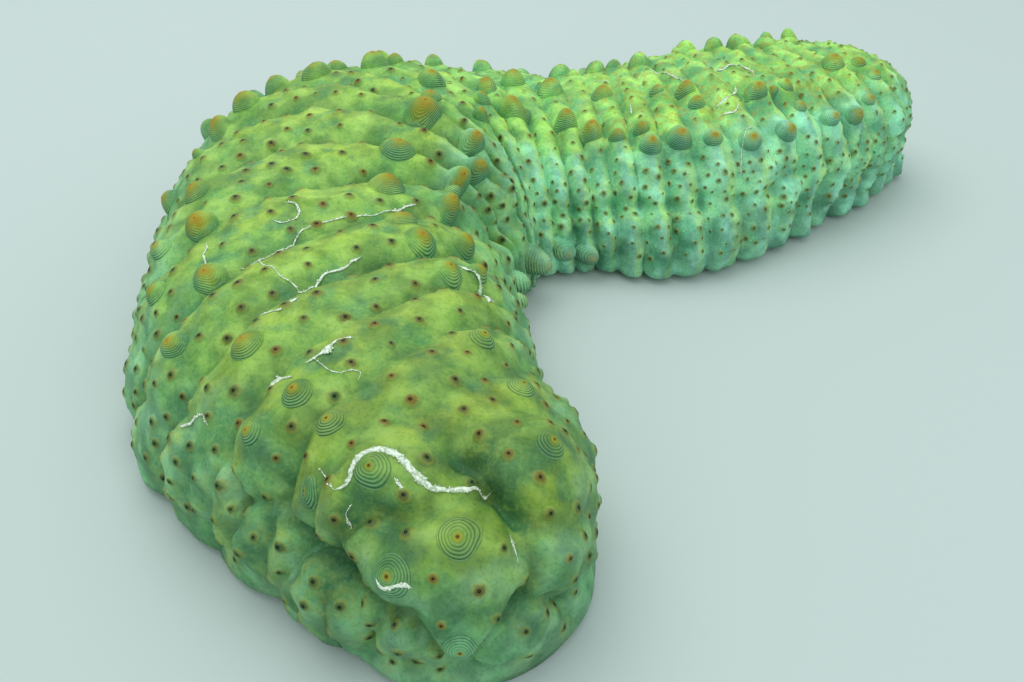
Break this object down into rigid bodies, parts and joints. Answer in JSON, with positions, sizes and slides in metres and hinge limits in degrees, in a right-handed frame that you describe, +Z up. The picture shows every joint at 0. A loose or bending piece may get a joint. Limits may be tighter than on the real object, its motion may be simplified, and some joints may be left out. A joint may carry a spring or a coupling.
{
  "type": "sea cucumber",
  "caption": "Life-size green sea cucumber lying bent to one side on its flat sole, with rows of blunt ringed papillae over a folded back.",
  "frame": {"origin": "on the flat sole under the front of the bend, at floor level", "axes": "+Z up from the floor, +Y the way the front half of the body runs from the head end to the bend, +X the side that the tail end turns to"},
  "size_m": [0.2582, 0.2775, 0.0605],
  "materials": {
    "skin": "moist yellow-green skin, teal on the flanks, with orange-brown papilla tips ringed by fine dark circles"
  },
  "bodies": {
    "root": {"head_end": "skin", "fore_trunk": "skin", "mid_trunk": "skin", "bend_front": "skin", "bend_rear": "skin", "hind_trunk": "skin", "rear_trunk": "skin", "tail_end": "skin"}
  },
  "joints": []
}
